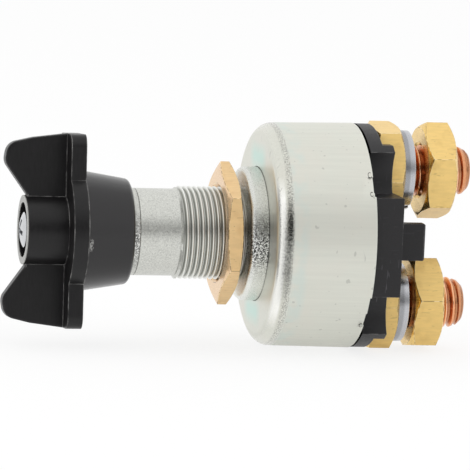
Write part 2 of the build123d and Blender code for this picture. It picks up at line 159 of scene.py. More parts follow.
class SwitchEdges(bpy.types.PropertyGroup):
    """How far sharp edges are rounded."""
    nut_edge: length_property("Nut edge", "Rounding of the brass nuts", 0.2)
    washer_edge: length_property("Washer edge", "Rounding of the spring washers", 0.16)
    knob_edge: length_property("Knob edge", "Rounding of the moulded knob", 0.28)
    screw_edge: length_property("Screw edge", "Rounding of the knob's screw", 0.08)
    base_edge: length_property("Base edge", "Rounding of the moulded base", 0.18)
    cup_edge: length_property("Cup edge", "Rounding of the cup's rim", 0.12)
    casting_edge: length_property("Casting edge", "Rounding of the die casting", 0.1)
    stud_edge: length_property("Stud edge", "Rounding of the studs' tips", 0.2)


class SwitchFinishes(bpy.types.PropertyGroup):
    """Colours of the finishes."""
    cup: colour_property("Cup", "Plated steel of the cup", (220, 221, 211))
    casting: colour_property("Casting", "Die cast zinc of neck and boss", (206, 207, 201))
    panel_nut: colour_property("Panel nut", "Warm brass of the panel nut", (244, 207, 150))
    nut: colour_property("Terminal nut", "Yellow brass of the terminal nuts", (243, 207, 128))
    copper: colour_property("Copper", "Copper of the studs", (255, 178, 130))
    washer: colour_property("Spring washer", "Steel of the split washers", (194, 195, 199))
    knob: colour_property("Knob", "Black plastic of the knob", (20, 19, 20))
    base: colour_property("Base", "Charcoal plastic of the base", (32, 31, 33))
    screw: colour_property("Screw", "Bright zinc plate of the knob screw", (206, 208, 210))


class SwitchStage(bpy.types.PropertyGroup):
    """Camera, lamps and floor."""
    azimuth: angle_property("Azimuth", "Camera's turn towards the knob", 12.376)
    elevation: angle_property("Elevation", "Camera's height as an angle", 6.859)
    roll: angle_property("Roll", "Camera's turn about its line of sight", 2.434)
    distance: length_property("Distance", "Camera to its aim", 773.5)
    focal: bpy.props.FloatProperty(
        name="Focal length", description="Lens in millimetres on a 36 mm sensor", default=306.38, min=1
    )
    aim: bpy.props.FloatVectorProperty(
        name="Aim",
        description="Point that the camera looks at",
        default=(-0.000545, 0, -0.000372),
        subtype="TRANSLATION",
    )
    top_lamp: bpy.props.FloatProperty(
        name="Top lamp", description="Power of the soft top lamp", default=0.8, unit="POWER"
    )
    side_lamp: bpy.props.FloatProperty(
        name="Side lamps", description="Power of each soft side lamp", default=1.8, unit="POWER"
    )
    floor: colour_property("Floor", "Floor and background", (250, 250, 250))
    floor_glow: share_property("Floor glow", "How white the floor looks apart from shadows", 0.82)
    front_light: share_property("Front light", "Brightness of the light from the viewer's side", 0.58)
    dark_patch: share_property("Dark patch", "Brightness of the room behind the camera", 0.03)
    patch_core: angle_property("Patch core", "Angle from the camera where the patch starts to fade", 15)
    patch_reach: angle_property("Patch reach", "Angle from the camera where the patch has faded", 42)


# Selecting and shaping


def deselect():
    if bpy.context.object and bpy.context.object.mode != "OBJECT":
        bpy.ops.object.mode_set(mode="OBJECT")
    for obj in list(bpy.context.selected_objects):
        obj.select_set(False)


def pick(obj):
    deselect()
    obj.select_set(True)
    bpy.context.view_layer.objects.active = obj


def edit(obj):
    pick(obj)
    bpy.ops.object.mode_set(mode="EDIT")
    bpy.ops.mesh.select_all(action="SELECT")


def leave():
    bpy.ops.object.mode_set(mode="OBJECT")


def choose(kind, test):
    """In edit mode, selects only the verts or faces whose centre passes the test."""
    bpy.ops.mesh.select_all(action="DESELECT")
    mesh = bpy.context.object.data
    bpy.ops.mesh.select_mode(type="VERT" if kind == "verts" else "FACE")
    shape = bmesh.from_edit_mesh(mesh)
    for part in getattr(shape, kind):
        centre = part.co if kind == "verts" else part.calc_center_median()
        part.select = bool(test(centre))
    shape.select_flush_mode()
    bmesh.update_edit_mesh(mesh)


def place_in_mesh(obj):
    pick(obj)
    bpy.ops.object.transform_apply(location=True, rotation=True, scale=True)


def apply_modifiers(obj):
    pick(obj)
    for modifier in list(obj.modifiers):
        bpy.ops.object.modifier_apply(modifier=modifier.name)


def tidy_shell(obj):
    """Merges doubles and turns every face outwards."""
    edit(obj)
    bpy.ops.mesh.remove_doubles(threshold=MERGE_DISTANCE)
    bpy.ops.mesh.normals_make_consistent(inside=False)
    leave()


def rod(name, start, end, radius, segments, z):
    """A round bar along X, in millimetres, drawn out of one disc."""
    deselect()
    bpy.ops.mesh.primitive_circle_add(
        vertices=segments,
        radius=radius * MM,
        fill_type="NGON",
        location=(start * MM, 0, z * MM),
        rotation=(0, math.pi / 2, 0),
    )
    piece = bpy.context.object
    piece.name = name
    place_in_mesh(piece)
    edit(piece)
    bpy.ops.mesh.extrude_region_move(
        MESH_OT_extrude_region={}, TRANSFORM_OT_translate={"value": ((end - start) * MM, 0, 0)}
    )
    leave()
    tidy_shell(piece)
    return piece


def cut_with(piece, tool, operation):
    """Boolean of a piece with a tool, which is then removed."""
    modifier = piece.modifiers.new(operation.lower(), "BOOLEAN")
    modifier.operation = operation
    modifier.solver = "EXACT"
    modifier.object = tool
    apply_modifiers(piece)
    bpy.data.objects.remove(tool)


def join(pieces, name):
    pick(pieces[0])
    for piece in pieces[1:]:
        piece.select_set(True)
    bpy.ops.object.join()
    pieces[0].name = name
    return pieces[0]


def thread_ridge(start, end, radius, pitch, steps, z):
    """The helical ridge of a thread along X, all in millimetres, from a four-sided section."""
    height = (THREAD_DEPTH + RIDGE_SINK) * pitch
    middle = radius - height / 2
    deselect()
    bpy.ops.mesh.primitive_plane_add(size=1, rotation=(math.pi / 2, 0, 0))
    ridge = bpy.context.object
    ridge.name = "ridge"
    place_in_mesh(ridge)
    edit(ridge)
    bpy.ops.mesh.delete(type="ONLY_FACE")
    bpy.ops.mesh.select_all(action="SELECT")
    bpy.ops.transform.resize(value=(RIDGE_WIDTH * pitch * MM, 1, height * MM), center_override=(0, 0, 0))
    bpy.ops.transform.translate(value=(start * MM, 0, middle * MM))
    choose("verts", lambda centre: centre.z > middle * MM)
    bpy.ops.transform.resize(value=(CREST_SHARE, 1, 1), center_override=(start * MM, 0, 0))
    bpy.ops.mesh.bevel(offset=RIDGE_ROUNDING * pitch * MM, segments=1, affect="VERTICES")
    leave()
    screw = ridge.modifiers.new("thread", "SCREW")
    screw.axis = "X"
    screw.angle = 2 * math.pi
    screw.screw_offset = pitch * MM
    screw.iterations = math.ceil((end - start) / pitch)
    screw.steps = screw.render_steps = steps
    screw.use_smooth_shade = False
    apply_modifiers(ridge)
    edit(ridge)
    bpy.ops.mesh.fill_holes(sides=0)
    bpy.ops.mesh.select_all(action="SELECT")
    bpy.ops.transform.translate(value=(0, 0, z * MM))
    leave()
    tidy_shell(ridge)
    return ridge


def mark_faces(piece, name, values):
    """Stores one value for each face, which the piece's finish reads."""
    marks = piece.data.attributes.new(name, "FLOAT", "FACE")
    marks.data.foreach_set("value", values)


def copied(obj, name):
    pick(obj)
    bpy.ops.object.duplicate()
    bpy.context.object.name = name
    return bpy.context.object


def softened(node, edge, segments=2, angle=25):
    """A merged copy of a CAD node whose sharp edges are rounded. It stands for the node."""
    piece = copied(frame["nodes"][node], node + "_shape")
    bpy.ops.object.parent_clear(type="CLEAR_KEEP_TRANSFORM")
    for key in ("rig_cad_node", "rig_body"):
        del piece[key]
    edit(piece)
    bpy.ops.mesh.remove_doubles(threshold=MERGE_DISTANCE)
    bpy.ops.mesh.dissolve_limited(angle_limit=FLAT_ANGLE)
    bpy.ops.mesh.normals_make_consistent(inside=False)
    leave()
    # The rounded edges take the second of two empty material places, which tells them apart
    for place in range(2):
        piece.data.materials.append(None)
    bevel = piece.modifiers.new("edges", "BEVEL")
    bevel.material = 1
    bevel.width = edge
    bevel.segments = segments
    bevel.limit_method = "ANGLE"
    bevel.angle_limit = math.radians(angle)
    bevel.use_clamp_overlap = True
    apply_modifiers(piece)
    mark_faces(piece, "edge", [float(face.material_index == 1) for face in piece.data.polygons])
    piece.data.polygons.foreach_set("material_index", [0] * len(piece.data.polygons))
    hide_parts(node)
    return piece


def threaded(node, edge, start, end, radius, pitch, steps, z=0.0, phase=0.0):
    """A softened copy of a node with a real thread between two places along X.

    The piece is turned down to the thread's root there, and a helical ridge is trimmed to the piece's
    outline and joined to it.
    """
    piece = softened(node, edge)
    ridge = thread_ridge(start + (phase - 1) * pitch, end, radius, pitch, steps, z)
    cut_with(ridge, copied(piece, "envelope"), "INTERSECT")
    groove = rod("groove", start, end, radius + pitch, steps, z)
    cut_with(ridge, copied(groove, "sleeve"), "INTERSECT")
    root = rod("root", start - pitch, end + pitch, radius - THREAD_DEPTH * pitch, steps, z)
    cut_with(groove, root, "DIFFERENCE")
    cut_with(piece, groove, "DIFFERENCE")
    return join([piece, ridge], piece.name)


def finish_piece(piece, body, material):
    """Smooth shading, finish, body and material slot of a piece that is ready."""
    pick(piece)
    bpy.ops.object.shade_smooth_by_angle(angle=SMOOTH_ANGLE)
    weighted = piece.modifiers.new("flats", "WEIGHTED_NORMAL")
    weighted.keep_sharp = True
    apply_modifiers(piece)
    mark_faces(piece, "end", [float(abs(face.normal.x) > END_SLOPE) for face in piece.data.polygons])
    piece.data.materials.clear()
    piece.data.materials.append(material)
    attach(piece, body)


def dress(node, material):
    """Gives a CAD node its finish."""
    mesh = frame["nodes"][node].data
    mesh.materials.clear()
    mesh.materials.append(material)


def low_high(node):
    """Corners of a CAD node in millimetres."""
    low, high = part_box(node)
    return low / MM, high / MM


# Finishes


class Nodes:
    """Short calls that add nodes to a node tree."""

    def __init__(self, owner):
        owner.use_nodes = True
        self.tree = owner.node_tree

    def find(self, kind):
        return next(node for node in self.tree.nodes if node.type == kind)

    def add(self, kind, settings=None, **inputs):
        """A new node. Its inputs are given by name, or by number as i0, i1 and so on."""
        node = self.tree.nodes.new(kind)
        for key, value in (settings or {}).items():
            setattr(node, key, value)
        for key, value in inputs.items():
            numbered = key[0] == "i" and key[1:].isdigit()
            self.feed(node.inputs[int(key[1:]) if numbered else key], value)
        return node

    def feed(self, socket, value):
        if isinstance(value, bpy.types.NodeSocket):
            self.tree.links.new(value, socket)
        else:
            socket.default_value = value

    def ramp(self, value, low, high, start=0.0, end=1.0, interpolation="LINEAR"):
        """A value that runs from start to end while the given one runs from low to high."""
        node = self.add("ShaderNodeMapRange", {"interpolation_type": interpolation}, Value=value)
        node.inputs["From Min"].default_value = low
        node.inputs["From Max"].default_value = high
        node.inputs["To Min"].default_value = start
        node.inputs["To Max"].default_value = end
        return node.outputs["Result"]

    def maths(self, operation, first, second=0.0):
        return self.add("ShaderNodeMath", {"operation": operation}, i0=first, i1=second).outputs[0]


class Finish(Nodes):
    """A new material with one Principled shader, measured in millimetres in the shared frame."""

    def __init__(self, name, **values):
        self.material = bpy.data.materials.new(name)
        super().__init__(self.material)
        self.shader = self.find("BSDF_PRINCIPLED")
        for key, value in values.items():
            self.shader.inputs[key.replace("_", " ")].default_value = value
        place = self.add("ShaderNodeTexCoord")
        scale = self.add("ShaderNodeMapping", Vector=place.outputs["Object"])
        scale.inputs["Scale"].default_value = (1 / MM, 1 / MM, 1 / MM)
        self.millimetres = scale.outputs["Vector"]

    def mark(self, name):
        """A value that mark_faces stored: 1 on rounded edges, or on faces that look along X."""
        return self.add("ShaderNodeAttribute", {"attribute_name": name}).outputs["Fac"]

    def sharp(self, radius):
        """1 along sharp edges and corners, out to a radius in millimetres."""
        rounded = self.add("ShaderNodeBevel", {"samples": 6}, Radius=radius * MM).outputs[0]
        flat = self.add("ShaderNodeNewGeometry").outputs["Normal"]
        match = self.add("ShaderNodeVectorMath", {"operation": "DOT_PRODUCT"}, i0=rounded, i1=flat)
        return self.ramp(match.outputs["Value"], 0.98, 0.88)

    def axes(self):
        """The three coordinates in millimetres."""
        node = self.add("ShaderNodeSeparateXYZ", Vector=self.millimetres)
        return [node.outputs[axis] for axis in "XYZ"]

    def radius(self, first, second):
        """Distance from an axis, given the two coordinates across it."""
        first_square = self.maths("MULTIPLY", first, first)
        second_square = self.maths("MULTIPLY", second, second)
        return self.maths("SQRT", self.maths("ADD", first_square, second_square))

    def within(self, value, low, high, soft):
        """1 between two values, falling to 0 over a soft margin outside them."""
        return self.all_of(self.ramp(value, low - soft, low), self.ramp(value, high, high + soft, 1, 0))

    def all_of(self, *shares):
        """The product of shares, which is 1 only where each of them is."""
        product = shares[0]
        for share in shares[1:]:
            product = self.maths("MULTIPLY", product, share)
        return product

    def stretched(self, scale, turn=(0, 0, 0)):
        node = self.add("ShaderNodeMapping", Vector=self.millimetres)
        node.inputs["Scale"].default_value = scale
        node.inputs["Rotation"].default_value = turn
        return node.outputs["Vector"]

    def noise(self, scale, detail, vector=None, roughness=0.5):
        place = vector or self.millimetres
        node = self.add("ShaderNodeTexNoise", Vector=place, Scale=scale, Detail=detail, Roughness=roughness)
        return node.outputs["Fac"]

    def spots(self, scale, vector=None):
        node = self.add("ShaderNodeTexVoronoi", Vector=vector or self.millimetres, Scale=scale)
        return node.outputs["Distance"]

    def grains(self, scale):
        """A random value for each small cell."""
        node = self.add("ShaderNodeTexVoronoi", Vector=self.millimetres, Scale=scale)
        return self.add("ShaderNodeSeparateColor", Color=node.outputs["Color"]).outputs[0]

    def blend(self, share, first, second):
        """The first colour with a share of the second."""
        node = self.add("ShaderNodeMix", {"data_type": "RGBA"})
        self.feed(node.inputs["Factor"], share)
        for socket, value in ((node.inputs[6], first), (node.inputs[7], second)):
            self.feed(socket, value if isinstance(value, bpy.types.NodeSocket) else (*value, 1))
        return node.outputs[2]

    def bump(self, height, distance, strength=1.0):
        node = self.add("ShaderNodeBump", Height=height, Distance=distance * MM, Strength=strength)
        return node.outputs["Normal"]

    def give(self, **sockets):
        for key, value in sockets.items():
            self.feed(self.shader.inputs[key.replace("_", " ")], value)
        return self.material


def shade(colour, factor):
    """A colour made lighter or darker."""
    return tuple(min(1.0, value * factor) for value in colour)


def plated_cup_finish(colour, front):
    """Zinc plated drawn steel: pale and dull on the side, brighter over the corner and the front. Over the
    corner lie a painted highlight and a painted dark reflection.
    """
    coat = Finish("plated_cup", IOR=1.6)
    x, y, z = coat.axes()
    behind = coat.maths("SUBTRACT", x, front)
    off_middle = coat.maths("ABSOLUTE", z)
    off_side = coat.maths("ABSOLUTE", y)
    side = coat.ramp(behind, 2.5, 3.2)
    corner = coat.within(behind, 0.8, 2.6, 0.6)
    near_side = coat.ramp(y, -8, -14)

    # Streaks from the drawing, and warm clouds
    streaks = coat.noise(1.0, 3, coat.stretched((0.05, 1.6, 1.6)))
    base = coat.blend(coat.ramp(streaks, 0.3, 0.7), shade(colour, 0.965), shade(colour, 1.02))
    warm = coat.ramp(coat.noise(0.14, 2), 0.42, 0.62, 0, 0.4)
    base = coat.blend(warm, base, seen(222, 219, 209))

    # Green tint of the plating: two spots on the front, and a band behind the corner
    spots = coat.all_of(
        coat.ramp(behind, 0.1, 0.5, 1, 0),
        coat.within(off_middle, 14.4, 15.4, 2.6),
        coat.within(off_side, 0, 3.5, 4),
        0.7,
    )
    base = coat.blend(spots, base, seen(190, 226, 217))
    band = coat.all_of(coat.within(behind, 3.4, 5.0, 1.2), coat.ramp(coat.noise(0.3, 2), 0.4, 0.6, 0, 0.5))
    base = coat.blend(band, base, seen(206, 220, 214))

    # Speckle over the corner, with a painted highlight along it and a painted dark reflection behind it on
    # the near side
    flecks = coat.ramp(coat.noise(4.2, 2), 0.42, 0.62)
    speckle = coat.all_of(coat.within(behind, 1.9, 2.7, 0.35), flecks, 0.5)
    base = coat.blend(speckle, base, seen(110, 110, 108))
    # Painted highlight: near white along the corner, on the near side
    painted_highlight = coat.all_of(coat.within(behind, 0.35, 1.2, 0.35), coat.within(z, -13, 9, 4), near_side, 0.9)
    base = coat.blend(painted_highlight, base, seen(255, 255, 250))
    # Painted dark reflection: a patchy dark band behind the corner, about the middle height, on the near
    # side
    patchy = coat.ramp(coat.noise(3.0, 3), 0.25, 0.6, 0.85, 0.5)
    dark = coat.all_of(coat.within(behind, 1.3, 2.2, 0.8), coat.within(z, -5, 2, 7), near_side, patchy)
    base = coat.blend(dark, base, seen(62, 62, 64))

    # Pits, scratches and a painted highlight on the rounded edge of the rim
    pits = coat.ramp(coat.spots(0.42), 0.03, 0.06, 1, 0)
    scratch_lines = coat.noise(0.55, 1, coat.stretched((1.4, 3.2, 0.5), (0.6, 0.2, 0.35)))
    scratches = coat.ramp(scratch_lines, 0.725, 0.745)
    marks = coat.maths("MAXIMUM", coat.all_of(pits, 0.4), coat.all_of(scratches, 0.3))
    base = coat.blend(marks, base, seen(128, 128, 122))
    rim = coat.all_of(coat.mark("edge"), coat.ramp(behind, 14.6, 15.6), 0.8)
    base = coat.blend(rim, base, seen(240, 246, 240))

    dullness = coat.maths("ADD", coat.ramp(side, 0, 1, 0.34, 0.46), coat.all_of(corner, -0.2))
    rough = coat.maths("ADD", coat.ramp(coat.noise(5, 3), 0.3, 0.7, -0.04, 0.04), dullness)
    peel = coat.all_of(coat.noise(2.6, 4, roughness=0.65), coat.ramp(corner, 0, 1, 0.15, 2.2))
    height = coat.maths("ADD", peel, coat.all_of(pits, -0.6))
    metal = coat.ramp(side, 0, 1, 1.0, 0.5)
    return coat.give(Base_Color=base, Metallic=metal, Roughness=rough, Normal=coat.bump(height, 0.035, 0.8))


def cast_zinc_finish(colour, thread_start, thread_radius, knob_rear, cup_front):
    """Die cast zinc: sandy grain on the boss, finer on the neck, thread with a painted highlight on its
    crests and painted shade in its roots.
    """
    coat = Finish("cast_zinc", Metallic=1.0, IOR=1.5)
    x, y, z = coat.axes()
    boss = coat.ramp(x, -0.1, 0.0)
    collar_end = knob_rear + 1.2
    collar = coat.within(x, knob_rear - 1.0, collar_end - 0.1, 0.1)
    on_thread = coat.within(x, thread_start + 0.5, -0.05, 0.05)

    # Sandy grain with bright and dark specks
    sand = coat.noise(3.2, 3, roughness=0.72)
    fine = coat.noise(6.5, 2)
    base = coat.blend(coat.ramp(sand, 0.36, 0.62), shade(colour, 0.86), shade(colour, 1.2))
    base = coat.blend(coat.ramp(fine, 0.56, 0.7, 0, 0.7), base, seen(244, 244, 240))
    base = coat.blend(coat.ramp(coat.noise(4.6, 2), 0.33, 0.4, 0.15, 0), base, shade(colour, 0.35))

    # Thread, with painted shade in its roots and a painted highlight on its crests
    depth = coat.ramp(coat.radius(y, z), thread_radius - 0.53, thread_radius - 0.04)
    turns = coat.blend(depth, shade(colour, 0.7), seen(250, 251, 247))
    base = coat.blend(coat.all_of(on_thread, 0.85), base, turns)

    # Coarse speckle on the near side of the boss and the collar, about the middle height: partly cast grain,
    # partly a painted dark reflection
    middle = coat.ramp(coat.maths("ABSOLUTE", coat.maths("ADD", z, 1.2)), 1.0, 7.5, 1.0, 0)
    near = coat.all_of(middle, coat.ramp(y, -3, -6))
    speckle = coat.blend(coat.ramp(coat.grains(6.0), 0.25, 0.85), seen(30, 31, 32), seen(252, 253, 250))
    coarse = coat.maths("MAXIMUM", boss, coat.all_of(collar, 0.8))
    base = coat.blend(coat.all_of(near, coarse), base, speckle)

    # Dark joint lines at the collar's end and where the boss enters the cup
    collar_line = coat.within(x, collar_end - 0.05, collar_end + 0.05, 0.06)
    lines = coat.maths("MAXIMUM", collar_line, coat.within(x, cup_front - 0.12, cup_front, 0.02))
    base = coat.blend(coat.all_of(lines, coat.ramp(fine, 0.35, 0.55, 0.4, 0.95)), base, shade(colour, 0.06))
    # Painted highlight on the boss, stronger below the middle than above it
    pale = coat.maths("ADD", coat.ramp(z, -4, -9, 0, 0.7), coat.ramp(z, 3, 6, 0, 0.2))
    base = coat.blend(coat.all_of(boss, pale), base, seen(250, 252, 247))

    rough = coat.maths("ADD", coat.ramp(sand, 0.3, 0.7, -0.08, 0.08), coat.ramp(boss, 0, 1, 0.35, 0.3))
    cast_skin = coat.maths("MAXIMUM", coat.ramp(boss, 0, 1, 0.3, 0.6), collar)
    grain = coat.all_of(cast_skin, coat.ramp(on_thread, 0, 1, 1.0, 0.3))
    height = coat.all_of(coat.maths("ADD", sand, coat.all_of(fine, 0.4)), grain)
    return coat.give(Base_Color=base, Roughness=rough, Normal=coat.bump(height, 0.12))


def brass_finish(name, colour, deep, face=None):
    """Milled brass with fine scratches, small pits and a slight tarnish. Its rounded edges are partly rubbed
    and partly a painted pale highlight and painted dark shade.
    """
    coat = Finish(name, IOR=1.5)
    end = coat.mark("end")
    marks = coat.noise(1.4, 3, coat.stretched((0.25, 3.0, 0.5), (0.3, 0.2, 0.1)))
    tarnish = coat.noise(0.35, 3)
    base = coat.blend(coat.ramp(marks, 0.35, 0.68), shade(colour, 0.94), shade(colour, 1.04))
    base = coat.blend(coat.ramp(tarnish, 0.52, 0.75, 0, 0.35), base, deep)
    pits = coat.ramp(coat.spots(1.1, coat.stretched((0.5, 1, 1))), 0.05, 0.09, 1, 0)
    scratch_lines = coat.noise(0.9, 1, coat.stretched((0.5, 2.6, 2.6), (0.1, 0.35, 0.15)))
    scratches = coat.ramp(scratch_lines, 0.70, 0.73)
    dark = coat.maths("MAXIMUM", coat.all_of(pits, 0.5), coat.all_of(scratches, 0.3))
    base = coat.blend(dark, base, shade(deep, 0.4))
    if face:
        base = coat.blend(coat.all_of(end, 0.7), base, face)
    # Rounded edges: partly rubbed brass, partly a painted pale highlight and painted dark lines
    rubbed_edge_and_painted_light = coat.blend(coat.ramp(coat.noise(1.0, 2), 0.44, 0.54), shade(deep, 0.1), seen(255, 236, 192))
    base = coat.blend(coat.all_of(coat.mark("edge"), 0.9), base, rubbed_edge_and_painted_light)
    dullness = coat.ramp(end, 0, 1, 0.36, 0.24)
    rough = coat.maths("ADD", coat.ramp(coat.noise(3.5, 3), 0.3, 0.7, -0.06, 0.06), dullness)
    height = coat.maths("ADD", coat.noise(2.2, 3), coat.all_of(pits, -1.0))
    metal = coat.ramp(end, 0, 1, 0.25, 0.95)
    return coat.give(Base_Color=base, Metallic=metal, Roughness=rough, Normal=coat.bump(height, 0.02, 0.5))


def copper_finish(colour, stud_z, stud_radius, nut_seat):
    """Cold headed copper, with a painted highlight on the thread's crests and painted shade in its roots."""
    coat = Finish("copper", Metallic=1.0, IOR=1.5)
    x, y, z = coat.axes()
    across = coat.maths("SUBTRACT", coat.maths("ABSOLUTE", z), stud_z)
    crest = coat.ramp(coat.radius(y, across), stud_radius - 0.83, stud_radius - 0.03)
    outside = coat.ramp(x, nut_seat - 1.2, nut_seat - 0.2)
    base = coat.blend(coat.ramp(coat.noise(1.8, 3), 0.35, 0.7), shade(colour, 0.86), shade(colour, 1.1))
    # Beyond the nut: painted shade in the thread's roots and a painted highlight on its crests
    base = coat.blend(coat.all_of(outside, coat.ramp(crest, 0, 1, 0.6, 0)), base, shade(colour, 0.3))
    base = coat.blend(coat.all_of(outside, coat.ramp(crest, 0.88, 1, 0, 0.5)), base, seen(255, 214, 184))
    rough = coat.ramp(coat.noise(6, 2), 0.3, 0.7, 0.2, 0.34)
    return coat.give(Base_Color=base, Roughness=rough, Normal=coat.bump(coat.noise(3.2, 3), 0.03, 0.6))


def steel_finish(name, colour, rough_low, rough_high, painted_shade_ends_at=None):
    """Steel with faint draw lines. Given a place along X, it has painted shade before it and is bright from
    it on, with a painted highlight on its rounded edges.
    """
    coat = Finish(name, Metallic=1.0, IOR=1.5)
    lines = coat.noise(0.7, 2, coat.stretched((5, 0.15, 0.15)))
    base = coat.blend(coat.ramp(lines, 0.35, 0.7), shade(colour, 0.94), shade(colour, 1.05))
    if painted_shade_ends_at is not None:
        x = coat.axes()[0]
        # Painted shade before the given place, and a painted highlight on the rounded edges
        dark = coat.ramp(x, painted_shade_ends_at - 0.15, painted_shade_ends_at + 0.2, 0.5, 0)
        base = coat.blend(dark, base, shade(colour, 0.32))
        base = coat.blend(coat.all_of(coat.mark("edge"), 0.6), base, seen(236, 238, 242))
    rough = coat.ramp(coat.noise(1.5, 2), 0.3, 0.7, rough_low, rough_high)
    return coat.give(Base_Color=base, Roughness=rough, Normal=coat.bump(lines, 0.005, 0.2))


def knob_finish(colour):
    """Black moulded plastic: satin, with a fine brushed texture, a rubbed rim and light rubbing. The edges
    and the rim are partly a painted highlight.
    """
    coat = Finish("knob_plastic", Metallic=0.0, IOR=1.5)
    x, y, z = coat.axes()
    skirt = coat.ramp(x, PLATE_REAR - 0.05, PLATE_REAR + 0.15)
    fine = coat.noise(3.2, 3, coat.stretched((1.2, 1.2, 0.12)))
    base = coat.blend(coat.ramp(fine, 0.35, 0.7), shade(colour, 0.8), shade(colour, 1.3))
    base = coat.blend(coat.ramp(coat.noise(0.5, 4), 0.58, 0.8, 0, 0.3), base, shade(colour, 2.2))
    base = coat.blend(coat.all_of(skirt, 0.9), base, shade(colour, 2.0))

    # Rubbed edges and the bright ring round the recess, both partly a painted highlight, and one scuff
    # behind the plate
    rubbing_and_painted_highlight = coat.ramp(coat.noise(0.5, 3), 0.4, 0.62, 0.1, 0.75)
    base = coat.blend(coat.all_of(coat.sharp(0.35), rubbing_and_painted_highlight), base, seen(168, 167, 165))
    hub_face = coat.ramp(x, HUB_FRONT + 0.1, HUB_FRONT + 0.2, 1, 0)
    on_hub = coat.ramp(coat.radius(y, z), HUB_RADIUS + 0.25, HUB_RADIUS + 0.45, 1, 0)
    base = coat.blend(coat.all_of(hub_face, on_hub, 0.75), base, seen(176, 176, 172))
    scuff = coat.all_of(
        coat.within(x, PLATE_REAR + 0.25, PLATE_REAR + 0.75, 0.2),
        coat.within(z, -2.2, -0.6, 0.5),
        coat.ramp(y, -10, -9, 1, 0),
        coat.ramp(coat.noise(4, 2), 0.45, 0.55),
        0.6,
    )
    base = coat.blend(scuff, base, seen(200, 200, 196))

    rough = coat.maths("ADD", coat.ramp(fine, 0.3, 0.7, -0.05, 0.05), coat.ramp(skirt, 0, 1, 0.36, 0.2))
    edge_on = coat.add("ShaderNodeLayerWeight", Blend=0.5).outputs["Facing"]
    gloss = coat.blend(skirt, (0.36, 0.36, 0.36), coat.ramp(edge_on, 0.35, 0.9, 0.5, 1.0))
    normal = coat.bump(fine, 0.02, 0.4)
    return coat.give(Base_Color=base, Specular_IOR_Level=gloss, Roughness=rough, Normal=normal)


def base_finish(colour, seam, rim):
    """Charcoal thermoset moulding with a dry surface, pale scuffs, rubbed edges that are partly a painted
    highlight, and a painted black shadow in the seam at the rim.
    """
    coat = Finish("base_plastic", Metallic=0.0, IOR=1.5)
    x, y, z = coat.axes()
    fine = coat.noise(4, 3)
    base = coat.blend(coat.ramp(fine, 0.35, 0.7), shade(colour, 0.86), shade(colour, 1.16))
    scuffs = coat.noise(0.7, 5, coat.stretched((0.5, 1.0, 2.6), (0.5, 0, 0)))
    base = coat.blend(coat.ramp(scuffs, 0.6, 0.74, 0, 0.35), base, shade(colour, 2.6))
    scratches = coat.ramp(coat.noise(0.8, 1, coat.stretched((2.4, 1.0, 0.4), (0, 0.5, 0))), 0.68, 0.72)
    more_below = coat.ramp(z, -2, -7, 0.12, 0.6)
    base = coat.blend(coat.all_of(scratches, more_below), base, shade(colour, 6.0))
    # Rubbed edges, partly a painted highlight
    rubbing_and_painted_highlight = coat.ramp(coat.noise(0.6, 3), 0.4, 0.62, 0.05, 0.7)
    base = coat.blend(coat.all_of(coat.sharp(0.25), rubbing_and_painted_highlight), base, seen(142, 141, 140))

    # Painted shadow: black in the gap between the rim and the base, where nothing is lit
    past_seam = coat.ramp(x, seam + 0.1, seam + 0.3)
    inside_rim = coat.ramp(coat.radius(y, z), rim - 0.95, rim - 0.55, 1, 0)
    open_air = coat.maths("MAXIMUM", past_seam, inside_rim)
    base = coat.blend(open_air, (0, 0, 0), base)
    gloss = coat.all_of(open_air, 0.4)
    rough = coat.ramp(fine, 0.3, 0.7, 0.38, 0.55)
    normal = coat.bump(fine, 0.03, 0.5)
    return coat.give(Base_Color=base, Specular_IOR_Level=gloss, Roughness=rough, Normal=normal)


def plain_finish(name, colour, metallic, low, high, scale=2.0):
    """An inner part's finish: a mottled colour with a changing gloss."""
    coat = Finish(name, Metallic=metallic, IOR=1.5)
    tone = coat.noise(scale, 3)
    base = coat.blend(coat.ramp(tone, 0.3, 0.7), shade(colour, 0.86), shade(colour, 1.12))
    rough = coat.ramp(tone, 0.3, 0.7, low, high)
    return coat.give(Base_Color=base, Roughness=rough, Normal=coat.bump(coat.noise(scale * 3, 2), 0.02, 0.4))


# Operators, one for each piece or group


class SWITCH_OT_casting(bpy.types.Operator):
    """Neck, cut thread, boss and flange of the die casting"""
    bl_idname = "switch.casting"
    bl_label = "Casting"

    def execute(self, context):
        threads = context.scene.switch_threads
        start = threads.neck_start / MM
        radius = threads.neck_radius / MM
        lead = 0.05
        boss_gap = 0.02
        piece = threaded(
            "neck_casting",
            context.scene.switch_edges.casting_edge,
            start + lead,
            -boss_gap,
            radius,
            threads.neck_pitch / MM,
            steps=144,
        )
        knob_rear = low_high("knob")[1].x
        cup_front = low_high("cup_housing")[0].x
        colour = context.scene.switch_finishes.casting
        finish = cast_zinc_finish(colour, start, radius, knob_rear, cup_front)
        finish_piece(piece, "housing", finish)
        return {"FINISHED"}


class SWITCH_OT_studs(bpy.types.Operator):
    """The two copper studs with cut threads"""
    bl_idname = "switch.studs"
    bl_label = "Studs"

    def execute(self, context):
        threads = context.scene.switch_threads
        radius = threads.stud_radius / MM
        run_out = 1.0
        seat = low_high("stud_nut_upper")[0].x
        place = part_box("stud_upper")
        stud_z = (place[0].z + place[1].z) / 2 / MM
        finish = copper_finish(context.scene.switch_finishes.copper, stud_z, radius, seat)
        for node, phase in (("stud_upper", 0.0), ("stud_lower", 0.36)):
            low, high = low_high(node)
            piece = threaded(
                node,
                context.scene.switch_edges.stud_edge,
                seat,
                high.x + run_out,
                radius,
                threads.stud_pitch / MM,
                steps=96,
                z=(low.z + high.z) / 2,
                phase=phase,
            )
            finish_piece(piece, "housing", finish)
        return {"FINISHED"}


